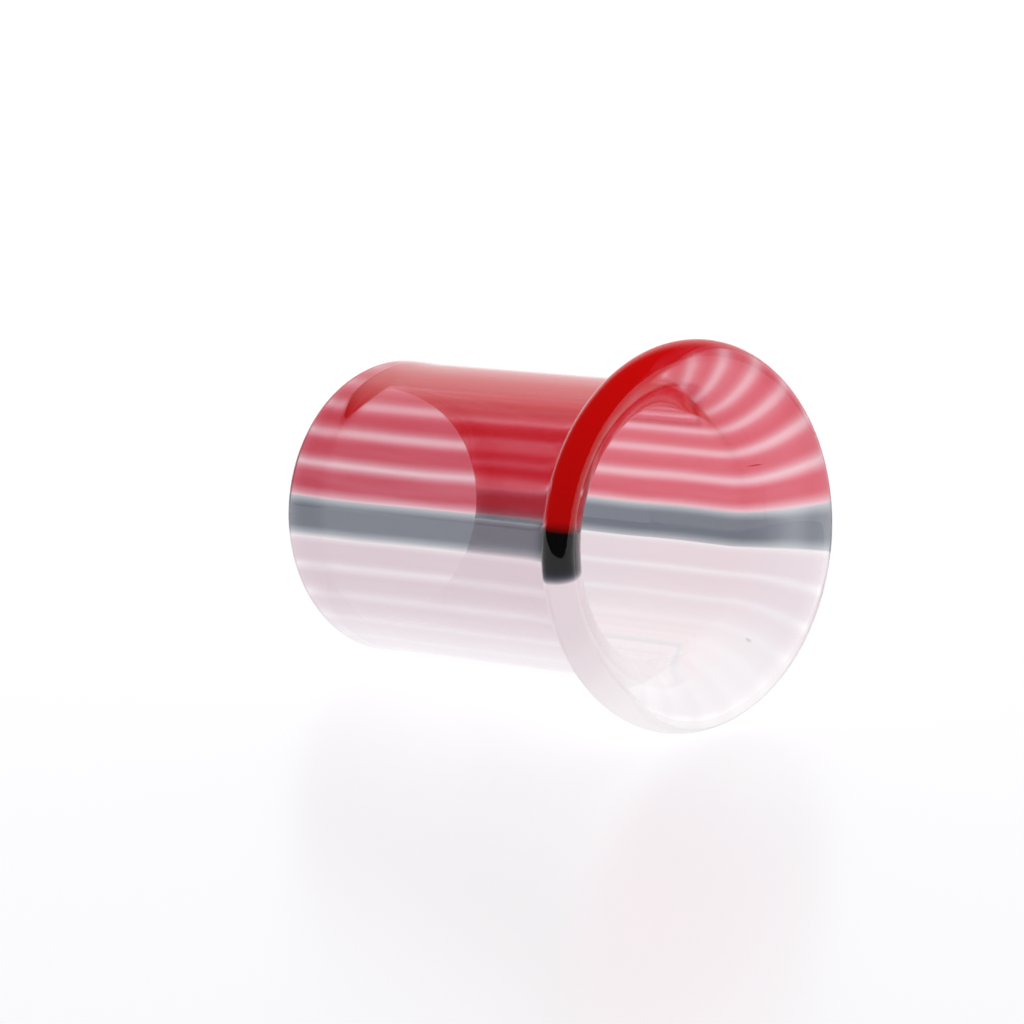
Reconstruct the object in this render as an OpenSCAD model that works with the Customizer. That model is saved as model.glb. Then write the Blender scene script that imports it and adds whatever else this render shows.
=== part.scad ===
// Single flare tunnel in lined glass, lying on its side as it rests by itself.
// Millimetres, +Z up. The flared front end faces -Y and the plain end +Y, and the
// origin is under the middle of the piece, on the surface that it lies on.
// Everything is turned from one wall section: its x is the distance from the tunnel's
// axis, and its y runs along the axis from the plain end to the flare's rim.

/* [Tube] */
// Outside diameter of the straight tube, the size it is worn at
tube_d = 10; // [9.2:0.1:10]
// Diameter of the hole through it
bore_d = 8.3; // [8.1:0.1:8.6]
// Length along the axis, over both ends
length = 15.2; // [13:0.1:20]

/* [Flared front end] */
// Outside diameter of the flare's rim
flare_d = 13; // [12.6:0.1:13.6]
// Radius of the curve that the bore opens out on
mouth_r = 2.6; // [2.2:0.1:3.2]
// Radius of the hollow curve behind the rim
back_r = 1.5; // [1.4:0.1:1.8]
// Thickness of the rounded rim
rim_t = 1.1; // [0.9:0.05:1.2]

/* [Plain end] */
// Outside diameter of the round lip that fire polishing leaves
lip_d = 10.1; // [10.02:0.02:10.3]
// Diameter of the hole inside the lip, where the wall has drawn in
lip_bore_d = 8.1; // [7.8:0.1:8.1]
// Distance from the end over which the lip runs out into the straight wall
lip_run = 2; // [1.6:0.1:4]

/* [Coloured canes] */
// Degrees of the turn round the axis that the red canes take up
red_deg = 167.1; // [150:0.1:175]
// Degrees of the turn that each black line takes up
line_deg = 15.2; // [10:0.1:20]
// Degrees that the red half is turned round the axis from standing upright
line_turn = 7.2; // [0:0.1:15]

/* [Hidden] */
$fn = 144;

tube_r = tube_d / 2;
bore_r = bore_d / 2;
flare_r = flare_d / 2;
rim_r = rim_t / 2;
lip_r = lip_d / 2;
lip_bore_r = lip_bore_d / 2;
bead_r = (lip_r - lip_bore_r) / 2;

// Angles round the axis where the red and the clear canes begin; the clear ones take up
// what the red ones and the two black lines leave
red_from = (180 - red_deg) / 2 - line_turn;
clear_from = red_from + red_deg + line_deg;
clear_deg = 360 - red_deg - 2 * line_deg;

// The mouth's curve is tangent to the bore and, at mouth_end degrees round it, to the
// rim's round edge
mouth_end = acos((bore_r + mouth_r + rim_r - flare_r) / (mouth_r - rim_r));
rim_c = [flare_r - rim_r, length - rim_r];
mouth_c = [bore_r + mouth_r, rim_c[1] - (mouth_r - rim_r) * sin(mouth_end)];
mouth_reach = mouth_r + rim_t;
mouth_edge = mouth_c + mouth_reach * [-cos(mouth_end), sin(mouth_end)];

// The hollow behind the rim is tangent to the tube and to the rim's round edge
back_x = tube_r + back_r;
back_c = [back_x, rim_c[1] - sqrt(pow(back_r + rim_r, 2) - pow(back_x - rim_c[0], 2))];

// The round lip at the plain end
bead_c = [lip_r - bead_r, bead_r];

// At rest the rim and the lip both touch the surface, so the axis slopes by rest_tilt
touch_run = [rim_c[1] - bead_c[1], rim_c[0] - bead_c[0]];
rest_tilt = atan2(touch_run[1], touch_run[0]) + asin((rim_r - bead_r) / norm(touch_run));
rest_z = rim_c[0] * cos(rest_tilt) + rim_r - rim_c[1] * sin(rest_tilt);
front_y = rim_c[1] * cos(rest_tilt) + rim_c[0] * sin(rest_tilt) + rim_r;
rear_y = bead_c[0] * sin(rest_tilt) - bead_c[1] * cos(rest_tilt) + bead_r;
rest_y = (front_y - rear_y) / 2;

// Straight wall, thickening both ways towards the lip, then the lip's round end
module tube_section() {
    polygon([[lip_bore_r, bead_c[1]], [lip_r, bead_c[1]], [tube_r, lip_run],
        [tube_r, mouth_c[1]], [bore_r, mouth_c[1]], [bore_r, lip_run]]);
    translate(bead_c) circle(bead_r);
}

// The wall as it opens out, cut back behind by the hollow, and its round rim
module flare_section() {
    difference() {
        intersection() {
            translate(mouth_c) circle(mouth_r);
            polygon([[bore_r - rim_t, mouth_c[1]], [bore_r - rim_t, length + rim_t],
                mouth_edge, rim_c, back_c, [tube_r, back_c[1]], [tube_r, mouth_c[1]]]);
        }
        translate(back_c) circle(back_r);
    }
    translate(rim_c) circle(rim_r);
}

// A stretch of the wall from one angle about the axis to another, set down at rest
module wall(from_deg, sweep_deg) {
    translate([0, rest_y, rest_z])
        rotate([90 - rest_tilt, 0, 0])
            rotate([0, 0, from_deg])
                rotate_extrude(angle = sweep_deg) {
                    tube_section();
                    flare_section();
                }
}

module red_glass() {
    color("#c8323c")
        wall(red_from, red_deg);
}

module clear_glass() {
    color("#ece2e6")
        wall(clear_from, clear_deg);
}

module black_line_left() {
    color("#26282c")
        wall(red_from + red_deg, line_deg);
}

module black_line_right() {
    color("#26282c")
        wall(red_from - line_deg, line_deg);
}

red_glass();
clear_glass();
black_line_left();
black_line_right();
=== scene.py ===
"""Single flare ear tunnel in lined glass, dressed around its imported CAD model."""

import bpy
import numpy as np
from mathutils import Matrix


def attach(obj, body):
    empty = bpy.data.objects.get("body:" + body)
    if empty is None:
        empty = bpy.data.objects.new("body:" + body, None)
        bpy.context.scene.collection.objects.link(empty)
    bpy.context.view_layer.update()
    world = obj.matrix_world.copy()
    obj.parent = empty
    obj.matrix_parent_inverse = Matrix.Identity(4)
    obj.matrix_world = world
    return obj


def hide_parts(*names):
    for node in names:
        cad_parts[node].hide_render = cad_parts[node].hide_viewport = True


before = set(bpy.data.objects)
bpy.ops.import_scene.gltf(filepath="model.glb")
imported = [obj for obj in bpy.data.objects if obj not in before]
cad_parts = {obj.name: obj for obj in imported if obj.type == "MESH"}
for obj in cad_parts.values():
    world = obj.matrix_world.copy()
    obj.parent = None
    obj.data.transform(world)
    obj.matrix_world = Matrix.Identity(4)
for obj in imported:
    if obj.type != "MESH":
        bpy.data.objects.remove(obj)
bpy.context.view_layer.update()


# The wall. On the real tunnel it is one piece of borosilicate glass: equal canes, red
# above, clear below and a black one on each side, were fused side by side into a tube.
# A torch then opened one end into the flare and drew the other in to a round lip.
MM = 0.001
TUBE_R, BORE_R = 5.0, 4.15
LENGTH = 15.2
FLARE_R, MOUTH_R, BACK_R, RIM_R = 6.5, 2.6, 1.5, 0.55
LIP_R, LIP_BORE_R, LIP_RUN = 5.05, 4.05, 2.0
STEPS_ROUND = 256


def arc(centre, radius, start, end, count):
    """Points on a circle: centre plus radius times (cos, sin) of angles in degrees."""
    angle = np.radians(np.linspace(start, end, count))
    return centre + radius * np.stack([np.cos(angle), np.sin(angle)], 1)


def stretch(start, end, count):
    """Points spaced evenly from start to end, without the start."""
    return np.linspace(start, end, count + 1)[1:]


def run_in(start, end, count):
    """A smooth step: the second coordinate moves evenly, and the first follows half a
    cosine wave, so it leaves and arrives parallel to the axis."""
    part = np.linspace(0, 1, count + 1)[1:, None]
    return start + (end - start) * np.hstack([(1 - np.cos(np.pi * part)) / 2, part])


def turned(name, outline, steps, place):
    """A closed surface of revolution: every outline point (r, s) goes round the axis as
    (r cos t, r sin t, s), and place then moves those points to where the piece lies."""
    t = np.arange(steps) * 2 * np.pi / steps
    r, s = outline[:, :1], outline[:, 1:]
    points = np.stack([r * np.cos(t), r * np.sin(t), s + 0 * t], -1).reshape(-1, 3)
    ring, step = np.meshgrid(np.arange(len(outline)), np.arange(steps), indexing="ij")
    next_ring, next_step = (ring + 1) % len(outline), (step + 1) % steps
    faces = np.stack([ring * steps + step, ring * steps + next_step,
                      next_ring * steps + next_step, next_ring * steps + step], -1)
    mesh = bpy.data.meshes.new(name)
    mesh.from_pydata(place(points).tolist(), [], faces.reshape(-1, 4).tolist())
    mesh.polygons.foreach_set("use_smooth", np.ones(len(mesh.polygons), bool))
    piece = bpy.data.objects.new(name, mesh)
    bpy.context.scene.collection.objects.link(piece)
    return piece


# The mouth's curve meets the bore and the rim without a corner, as the hollow behind the
# rim meets the tube and the rim, so the four circles' centres follow from their radii.
bead_r = (LIP_R - LIP_BORE_R) / 2
bead = np.array([LIP_R - bead_r, bead_r])
rim = np.array([FLARE_R - RIM_R, LENGTH - RIM_R])
mouth_end = np.arccos((BORE_R + MOUTH_R - rim[0]) / (MOUTH_R - RIM_R))
mouth = np.array([BORE_R + MOUTH_R, rim[1] - (MOUTH_R - RIM_R) * np.sin(mouth_end)])
back_x = TUBE_R + BACK_R
back = np.array([back_x, rim[1] - np.sqrt((BACK_R + RIM_R) ** 2 - (back_x - rim[0]) ** 2)])
back_end = np.degrees(np.arctan2(*(rim - back)[::-1]))
mouth_start = 180 - np.degrees(mouth_end)

outline = np.concatenate([
    arc(bead, bead_r, 180, 360, 24),
    stretch([LIP_R, bead[1]], [TUBE_R, LIP_RUN], 8),
    stretch([TUBE_R, LIP_RUN], [TUBE_R, back[1]], 24),
    arc(back, BACK_R, 180, back_end, 20)[1:],
    arc(rim, RIM_R, back_end - 180, mouth_start, 26)[1:],
    arc(mouth, MOUTH_R, mouth_start, 180, 28)[1:],
    stretch([BORE_R, mouth[1]], [BORE_R, LIP_RUN], 26),
    run_in(np.array([BORE_R, LIP_RUN]), np.array([LIP_BORE_R, bead[1]]), 18)[:-1],
])

# It lies on its rim and its lip, so its axis rises towards the flare by this angle
span = rim - bead
tilt = np.arctan2(*span) + np.arcsin((RIM_R - bead_r) / np.hypot(*span))
along, up = np.cos(tilt), np.sin(tilt)
lie_z = rim[0] * along + RIM_R - rim[1] * up
front = rim[1] * along + rim[0] * up + RIM_R
rear = bead[0] * up - bead[1] * along + bead_r
lie_y = (front - rear) / 2


def laid_down(points):
    """Turns points about X from the tunnel's own frame, whose Z is its axis, to the
    frame of the CAD model, and gives them in metres."""
    x, y, s = points.T
    return np.stack([x, lie_y - along * s + up * y, lie_z + up * s + along * y], 1) * MM


tunnel = turned("lined_glass_tunnel", outline, STEPS_ROUND, laid_down)

# The outer face runs from the plain end's edge to the rim's widest circle
lip_end, rim_edge = outline[:, 1].argmin(), outline[:, 0].argmax()
outline_point = np.arange(len(outline))
outside = (outline_point > lip_end) & (outline_point <= rim_edge)
marked = tunnel.data.attributes.new("outside", "FLOAT", "POINT")
marked.data.foreach_set("value", np.repeat(outside.astype(float), STEPS_ROUND))


# The glass. Borosilicate, drawn from a gather and fire polished, has smooth clear faces
# (IOR 1.474), with no grain and no scratches. Its fused canes are what the eye sees: soft
# lines along the tube, and colour that gets deeper where the glass is seen edge on.
glass = bpy.data.materials.new("lined_borosilicate_glass")
glass.use_nodes = True
tree = glass.node_tree
tree.nodes.clear()


def add(tree, kind, settings=(), **inputs):
    """Adds a node of this kind. Settings are its own properties, and each input, named
    with _ for a space or in0 for a number, gets a value or is linked to a socket."""
    made = tree.nodes.new("ShaderNode" + kind)
    for key, value in dict(settings).items():
        setattr(made, key, value)
    for key, value in inputs.items():
        number = key[2:].isdigit() and key.startswith("in")
        socket = made.inputs[int(key[2:]) if number else key.replace("_", " ")]
        if isinstance(value, bpy.types.NodeSocket):
            tree.links.new(value, socket)
        else:
            socket.default_value = value
    return made.outputs[0]


# Settings that many nodes share. SMOOTH eases a change at both its ends.
PLUS, MINUS = {"operation": "ADD"}, {"operation": "SUBTRACT"}
TIMES, TIMES_PLUS = {"operation": "MULTIPLY"}, {"operation": "MULTIPLY_ADD"}
SMOOTH = {"interpolation_type": "SMOOTHSTEP"}

# Places in the tunnel's own frame, whose third axis runs from the plain end to the rim,
# then the angle round that axis, and the millimetres behind the front of the rim
object_place = add(tree, "TexCoord").node.outputs["Object"]
own = add(tree, "Mapping", {"vector_type": "TEXTURE"}, Vector=object_place,
          Location=(0, lie_y * MM, lie_z * MM), Rotation=(np.pi / 2 - tilt, 0, 0))
axes = add(tree, "SeparateXYZ", in0=own).node.outputs
round_axis = add(tree, "Math", {"operation": "ARCTAN2"}, in0=axes[1], in1=axes[0])
behind_rim = add(tree, "Math", TIMES_PLUS, in0=axes[2], in1=-1 / MM, in2=LENGTH)

# Degrees are counted from where the right black line meets the red. The canes wander a
# little, and twist in the flare, where the flaring tool dragged the soft glass round.
RED_FROM, RED_TURN, LINE_TURN = -0.75, 167.1, 15.2
WANDER, WANDER_RUN = 2.4, 6
FLARE_TWIST, TWIST_RUN = 2.6, 3.2
twist = add(tree, "MapRange", SMOOTH, in0=behind_rim, in1=TWIST_RUN, in2=0.0,
            in3=-RED_FROM, in4=-RED_FROM - FLARE_TWIST)
untwisted = add(tree, "Math", TIMES_PLUS, in0=round_axis, in1=180 / np.pi, in2=twist)
noise = add(tree, "TexNoise", Vector=own, Scale=1 / (WANDER_RUN * MM), Detail=1.0)
either_way = add(tree, "Math", MINUS, in0=noise, in1=0.5)
wandered = add(tree, "Math", TIMES_PLUS, in0=either_way, in1=WANDER, in2=untwisted)
degrees_round = add(tree, "Math", {"operation": "WRAP"}, in0=wandered, in1=360.0, in2=0.0)

# Each colour has a stretch of the turn, in degrees, with a number of equal canes. cane
# counts them round, so its whole part is the number of the cane.
RED_CANES, CLEAR_CANES = 12, 13
COLOURS = {"red": (RED_TURN, RED_CANES), "left line": (LINE_TURN, 1),
           "clear": (360 - RED_TURN - 2 * LINE_TURN, CLEAR_CANES), "right line": (LINE_TURN, 1)}
cane, reached = 0.0, 0.0
for turn, canes in COLOURS.values():
    counted = add(tree, "MapRange", in0=degrees_round, in1=reached, in2=reached + turn,
                  in3=0.0, in4=canes)
    cane = add(tree, "Math", PLUS, in0=cane, in1=counted)
    reached += turn

# 1 in a colour's own canes, and 0 in all others
within, first = {}, 0
for colour, (turn, canes) in COLOURS.items():
    past_first = add(tree, "Math", {"operation": "GREATER_THAN"}, in0=cane, in1=first)
    before_last = add(tree, "Math", {"operation": "LESS_THAN"}, in0=cane, in1=first + canes)
    within[colour] = add(tree, "Math", TIMES, in0=past_first, in1=before_last)
    first += canes

# How far across its cane a place is: 0 in the cane's middle, and JOINT where it ends
JOINT = 0.5
share = add(tree, "Math", {"operation": "FRACT"}, in0=cane)
off_middle = add(tree, "Math", MINUS, in0=share, in1=0.5)
from_middle = add(tree, "Math", {"operation": "ABSOLUTE"}, in0=off_middle)

# Canes differ a little in strength, and the drawing left long faint streaks in each
STREAKS_PER_CANE, STREAK_RUN, STREAKINESS = 2.4, 7, 0.1
CANE_DIFFERENCE = 0.03
streaks_across = add(tree, "Math", TIMES, in0=cane, in1=STREAKS_PER_CANE)
streaks_along = add(tree, "Math", TIMES, in0=axes[2], in1=1 / (STREAK_RUN * MM))
streak_place = add(tree, "CombineXYZ", in0=streaks_across, in1=streaks_along)
streaks = add(tree, "TexNoise", Vector=streak_place, Scale=1.0, Detail=3.0, Roughness=0.6)
streaky = add(tree, "MapRange", in0=streaks, in1=0.3, in2=0.7, in3=1 - STREAKINESS,
              in4=1 + STREAKINESS)
cane_number = add(tree, "Math", {"operation": "FLOOR"}, in0=cane)
of_cane = add(tree, "TexWhiteNoise", {"noise_dimensions": "1D"}, W=cane_number)
differing = add(tree, "MapRange", in0=of_cane, in1=0.0, in2=1.0, in3=1 - CANE_DIFFERENCE,
                in4=1 + CANE_DIFFERENCE)
uneven = add(tree, "Math", TIMES, in0=streaky, in1=differing)

# Painted light: the glass's painted glow is made brighter above and to the right, the side
# the light falls from. The value below is how far that way a place is, from the point on
# the floor under the tunnel's middle.
PAINTED_LIGHT_FROM = (0.6, 0, 0.8)
painted_light_side = add(tree, "VectorMath", {"operation": "DOT_PRODUCT"}, in0=object_place,
                 in1=PAINTED_LIGHT_FROM).node.outputs["Value"]


def linear(code):
    """Linear RGB of an sRGB hex colour."""
    value = np.array([int(code[k:k + 2], 16) for k in (1, 3, 5)]) / 255
    return np.where(value > 0.04045, ((value + 0.055) / 1.055) ** 2.4, value / 12.92)


def glass_inside_and_painted_glow(strength, light, after_1mm, glow_colour):
    """The inside of a glass that keeps after_1mm of the light through each millimetre.
    The rest is scattered at fine joints, and as light comes from all round, that part is
    painted in: the glass glows, though it is no lamp, as an emission in the glow colour.
    So absorption is minus the log of what is kept, and the painted glow is the absorption
    times the glow colour and the light."""
    lost = -np.log(linear(after_1mm)) / MM
    most = float(lost.max())
    density = add(tree, "Math", TIMES, in0=strength, in1=most)
    lit = add(tree, "Math", TIMES, in0=density, in1=light)
    absorbed = add(tree, "VolumeAbsorption", Color=(*(1 - lost / most), 1), Density=density)
    glow = add(tree, "Emission", Color=(*(linear(glow_colour) * lost / most), 1), Strength=lit)
    return add(tree, "AddShader", in0=absorbed, in1=glow)


# Red canes, of transparent red glass. Where two met, the clear skin on each left a soft
# pale line. The flare's glass was drawn out, so its colour is thinner.
PALE_FROM, RED_AT_JOINT = 0.2, 0.24

# Where it is drawn out, in mm behind the rim, and the part of the colour that is left
RED_DRAWN_FROM, RED_DRAWN_TO, RED_DRAWN = 2.4, 0.3, 0.8
# Painted light: how bright the red's painted glow is on its dim side and on its lit side
RED_PAINTED_DIM, RED_PAINTED_BRIGHT = 0.65, 1.12
pale_line = add(tree, "MapRange", in0=from_middle, in1=PALE_FROM, in2=JOINT, in3=1.0,
                in4=RED_AT_JOINT)
drawn_out = add(tree, "MapRange", SMOOTH, in0=behind_rim, in1=RED_DRAWN_FROM,
                in2=RED_DRAWN_TO, in3=1.0, in4=RED_DRAWN)
red = within["red"]
for weaker in (uneven, drawn_out, pale_line):
    red = add(tree, "Math", TIMES, in0=red, in1=weaker)
# Painted light: the red's painted glow grows towards the side the light falls from
red_painted_light = add(tree, "MapRange", in0=painted_light_side, in1=1 * MM, in2=9 * MM, in3=RED_PAINTED_DIM,
                in4=RED_PAINTED_BRIGHT)

# Each glass adds its strength and colour at the faces to tints, and its inside to layers
tints = [(red, "#ffcbd7")]
# Painted light: besides absorbing, the red's inside gives a painted glow in deep red
layers = [glass_inside_and_painted_glow(red, red_painted_light, "#927580", "#be0000")]


# Black lines, one cane of smoke black glass on each side, with soft edges. In the flare
# they thin where the glass was drawn out, gather before the rim, and fade out on it.
BLACK_AT_EDGE = 0.3
black_edge = add(tree, "MapRange", in0=from_middle, in1=PALE_FROM, in2=JOINT, in3=1.0,
                 in4=BLACK_AT_EDGE)

# Each change has its start and its end, in mm behind the rim, and its strength at each
LINE_CHANGES = (
    (1.9, 0.9, 1.08, 0.66),
    (0.75, 0.35, 1.0, 1.7),
    (0.28, 0.05, 1.0, 0.3),
)
line_run = 1.0
for start, end, at_start, at_end in LINE_CHANGES:
    change = add(tree, "MapRange", SMOOTH, in0=behind_rim, in1=start, in2=end, in3=at_start,
                 in4=at_end)
    line_run = add(tree, "Math", TIMES, in0=line_run, in1=change)
black = add(tree, "Math", PLUS, in0=within["left line"], in1=within["right line"])
for weaker in (black_edge, line_run):
    black = add(tree, "Math", TIMES, in0=black, in1=weaker)

# Inside, the left line was laid on thicker at the flare. It is seen edge on there, as a
# solid black patch.
THICK_FROM, THICK_TO, THICKER = 3.0, 1.6, 4.2
CORE_FROM, CORE_AT_EDGE = 0.26, 0.4
thicker = add(tree, "MapRange", SMOOTH, in0=behind_rim, in1=THICK_FROM, in2=THICK_TO,
              in3=1.0, in4=THICKER)
core_edge = add(tree, "MapRange", in0=from_middle, in1=CORE_FROM, in2=JOINT, in3=1.0,
                in4=CORE_AT_EDGE)
right_core = add(tree, "Math", TIMES, in0=within["right line"], in1=line_run)
core = add(tree, "Math", TIMES_PLUS, in0=within["left line"], in1=thicker, in2=right_core)
core = add(tree, "Math", TIMES, in0=core, in1=core_edge)
tints.append((black, "#cecfd4"))
# The black's inside only absorbs: its painted glow colour is black
layers.append(glass_inside_and_painted_glow(core, 1.0, "#999da4", "#000000"))


# Clear canes. Their faint pink tint is strongest beside the black lines, and at the bottom
# they are nearly white. Their joints are pale lines too, and the flare thins their colour.
CLEAR_MIDDLE = RED_TURN / 2 + 180
WHITE_WITHIN, PINK_BEYOND, PINK_AT_BOTTOM = 22, 72, 0.15
CLEAR_PALE_FROM, CLEAR_AT_JOINT = 0.25, 0.25
CLEAR_DRAWN_FROM, CLEAR_DRAWN_TO, CLEAR_DRAWN = 1.8, 0.4, 0.44
# Painted light: how bright the clear canes' painted glow is on its dim side and its lit side
CLEAR_PAINTED_DIM, CLEAR_PAINTED_BRIGHT = 0.97, 1.08
round_from_bottom = add(tree, "Math", MINUS, in0=degrees_round, in1=CLEAR_MIDDLE)
from_bottom = add(tree, "Math", {"operation": "ABSOLUTE"}, in0=round_from_bottom)
pinkness = add(tree, "MapRange", SMOOTH, in0=from_bottom, in1=WHITE_WITHIN, in2=PINK_BEYOND,
               in3=PINK_AT_BOTTOM, in4=1.0)
clear_line = add(tree, "MapRange", SMOOTH, in0=from_middle, in1=CLEAR_PALE_FROM, in2=JOINT,
                 in3=1.0, in4=CLEAR_AT_JOINT)
clear_drawn = add(tree, "MapRange", SMOOTH, in0=behind_rim, in1=CLEAR_DRAWN_FROM,
                  in2=CLEAR_DRAWN_TO, in3=1.0, in4=CLEAR_DRAWN)
clear = within["clear"]
for weaker in (uneven, clear_line, clear_drawn):
    clear = add(tree, "Math", TIMES, in0=clear, in1=weaker)
pink = add(tree, "Math", TIMES, in0=clear, in1=pinkness)
white = add(tree, "Math", MINUS, in0=clear, in1=pink)
# Painted light: the clear canes' painted glow grows towards the side the light falls from
clear_painted_light = add(tree, "MapRange", in0=painted_light_side, in1=0.0, in2=7 * MM, in3=CLEAR_PAINTED_DIM,
                  in4=CLEAR_PAINTED_BRIGHT)
tints += [(pink, "#f5eef2"), (white, "#fdfbfc")]
# Painted light: the clear canes' insides give a painted glow, pinkish and near white
layers += [glass_inside_and_painted_glow(pink, clear_painted_light, "#5e5e5e", "#e2d3d9"),
           glass_inside_and_painted_glow(white, clear_painted_light, "#7c7c7c", "#fefafc")]


# Two flecks lie in the flare, where bits of other glass were caught in the wall: a thread
# of darker red, and a grey grain low in the clear. Each has its place (degrees round the
# axis, r, s), its half sizes across, outwards and along, and its colour.
FLECKS = (
    ((19.5, 5.1, 13.2), (0.05, 0.3, 0.34), "#9c3040"),
    ((307.0, 5.4, 13.7), (0.1, 0.2, 0.12), "#a8a8ac"),
)
SOLID_WITHIN = 0.3
for (angle, r, s), half_sizes, fleck_colour in FLECKS:
    centre = np.array([r * np.cos(np.radians(angle)), r * np.sin(np.radians(angle)), s]) * MM
    from_fleck = add(tree, "Mapping", {"vector_type": "TEXTURE"}, Vector=own, Location=centre,
                     Rotation=(0, 0, np.radians(angle - 90)), Scale=np.array(half_sizes) * MM)
    distance = add(tree, "VectorMath", {"operation": "LENGTH"},
                   in0=from_fleck).node.outputs["Value"]
    fleck = add(tree, "MapRange", SMOOTH, in0=distance, in1=SOLID_WITHIN, in2=1.0, in3=1.0,
                in4=0.0)
    tints.append((fleck, fleck_colour))


# The wall's one material puts those together. The shader tints light by the root of its
# colour at each of a wall's two faces. Here the outer face alone has the tints, squared.
WHITE = (1, 1, 1, 1)
outer_face = add(tree, "Attribute", {"attribute_name": "outside"}).node.outputs["Fac"]
skin = WHITE
for strength, colour in tints:
    at_face = add(tree, "Math", TIMES, in0=strength, in1=outer_face)
    tint = add(tree, "Mix", {"data_type": "RGBA"}, in0=at_face, in6=WHITE,
               in7=(*linear(colour) ** 2, 1)).node.outputs[2]
    skin = add(tree, "Mix", {"data_type": "RGBA", "blend_type": "MULTIPLY"}, in0=1.0,
               in6=skin, in7=tint).node.outputs[2]
depth = layers[0]
for layer in layers[1:]:
    depth = add(tree, "AddShader", in0=depth, in1=layer)
surface = add(tree, "BsdfPrincipled", Base_Color=skin, Roughness=0.0, IOR=1.474,
              Transmission_Weight=1.0)
output = tree.nodes.new("ShaderNodeOutputMaterial")
tree.links.new(surface, output.inputs["Surface"])
tree.links.new(depth, output.inputs["Volume"])

# Steps through the glass are fine, so that no thin joint is stepped over
glass.cycles.volume_step_rate = 0.25
tunnel.data.materials.append(glass)

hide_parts("red_glass", "clear_glass", "black_line_left", "black_line_right")
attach(tunnel, "root")


# The floor is a sheet of white opal acrylic on a light table, so it glows by itself and
# takes hardly any shadow.
FLOOR_HALF = 600
FLOOR_GLOW = 0.76
floor_mesh = bpy.data.meshes.new("floor")
corners = np.array([[-1, -1, 0], [1, -1, 0], [1, 1, 0], [-1, 1, 0]]) * FLOOR_HALF * MM
floor_mesh.from_pydata(corners.tolist(), [], [(0, 1, 2, 3)])
floor = bpy.data.objects.new("floor", floor_mesh)
bpy.context.scene.collection.objects.link(floor)
acrylic = bpy.data.materials.new("white_opal_acrylic")
acrylic.use_nodes = True
acrylic_shader = acrylic.node_tree.nodes["Principled BSDF"].inputs
acrylic_shader["Base Color"].default_value = (*linear("#8a8a8e"), 1)
acrylic_shader["Roughness"].default_value = 0.3
acrylic_shader["Emission Color"].default_value = (*linear("#fdfdff"), 1)
acrylic_shader["Emission Strength"].default_value = FLOOR_GLOW
floor_mesh.materials.append(acrylic)


# Soft studio light comes from a white tent round the tunnel. It is bright behind the
# tunnel and to its right, and dim towards the photographer, so the near faces reflect little.
BRIGHT_SIDE = (0.79, 0.6, -0.1)
DIM, BRIGHT = 0.08, 1.06
DIM_UP_TO, BRIGHT_FROM = 0.3, 0.8
tent = bpy.data.worlds.new("light_tent")
tent.use_nodes = True
sky = tent.node_tree
sky.nodes.clear()
direction = add(sky, "TexCoord").node.outputs["Generated"]
towards = add(sky, "VectorMath", {"operation": "DOT_PRODUCT"}, in0=direction,
              in1=BRIGHT_SIDE).node.outputs["Value"]
brightness = add(sky, "MapRange", SMOOTH, in0=towards, in1=DIM_UP_TO, in2=BRIGHT_FROM,
                 in3=DIM, in4=BRIGHT)
tent_light = add(sky, "Background", Color=WHITE, Strength=brightness)
sky.links.new(tent_light, sky.nodes.new("ShaderNodeOutputWorld").inputs["Surface"])
bpy.context.scene.world = tent


# The camera stands where the photograph's did: the rim's widest circle is at RIM_SEEN in
# its frame, the tunnel's axis leans by AWAY from the line of sight and by LEAN in the
# picture, and the camera itself isn't rolled.
RIM_SEEN = np.array([0.8981, 0.1259, 27.0]) * FLARE_R * MM
AWAY, LEAN = np.radians(43.25), np.radians(6.15)
LENS_PIXELS, PICTURE, SENSOR = 5353.8, 1024, 36
axis = np.array([np.sin(AWAY) * np.cos(LEAN), np.sin(AWAY) * np.sin(LEAN), -np.cos(AWAY)])
side = np.array([np.sin(LEAN), -np.cos(LEAN), 0])
third = np.cross(side, axis)
third = -third if third[2] > 0 else third
reach = np.hypot(np.sin(LEAN), np.cos(LEAN) * np.cos(AWAY))
swing = (np.arccos(-up * np.sin(AWAY) * np.cos(LEAN) / along / reach)
         - np.arctan2(np.cos(LEAN) * np.cos(AWAY), np.sin(LEAN)))
world_z = up * axis + along * (np.cos(swing) * side + np.sin(swing) * third)
world_y = -(axis - up * world_z) / along
to_world = np.stack([np.cross(world_y, world_z), world_y, world_z])
rim_at = np.array([0, lie_y - along * rim[1], lie_z + up * rim[1]]) * MM
pose = np.eye(4)
pose[:3, :3] = to_world * [1, -1, -1]
pose[:3, 3] = rim_at - to_world @ RIM_SEEN
lens = bpy.data.cameras.new("camera")
lens.sensor_width = SENSOR
lens.lens = LENS_PIXELS / PICTURE * SENSOR
lens.clip_start, lens.clip_end = 0.01, 10
camera = bpy.data.objects.new("camera", lens)
bpy.context.scene.collection.objects.link(camera)
camera.matrix_world = Matrix(pose.tolist())
bpy.context.scene.camera = camera

# Light may cross many faces of the glass on its way, and it isn't graded afterwards
MOST_BOUNCES = 64
cycles = bpy.context.scene.cycles
cycles.max_bounces = cycles.transmission_bounces = cycles.glossy_bounces = MOST_BOUNCES
bpy.context.scene.view_settings.view_transform = "Standard"
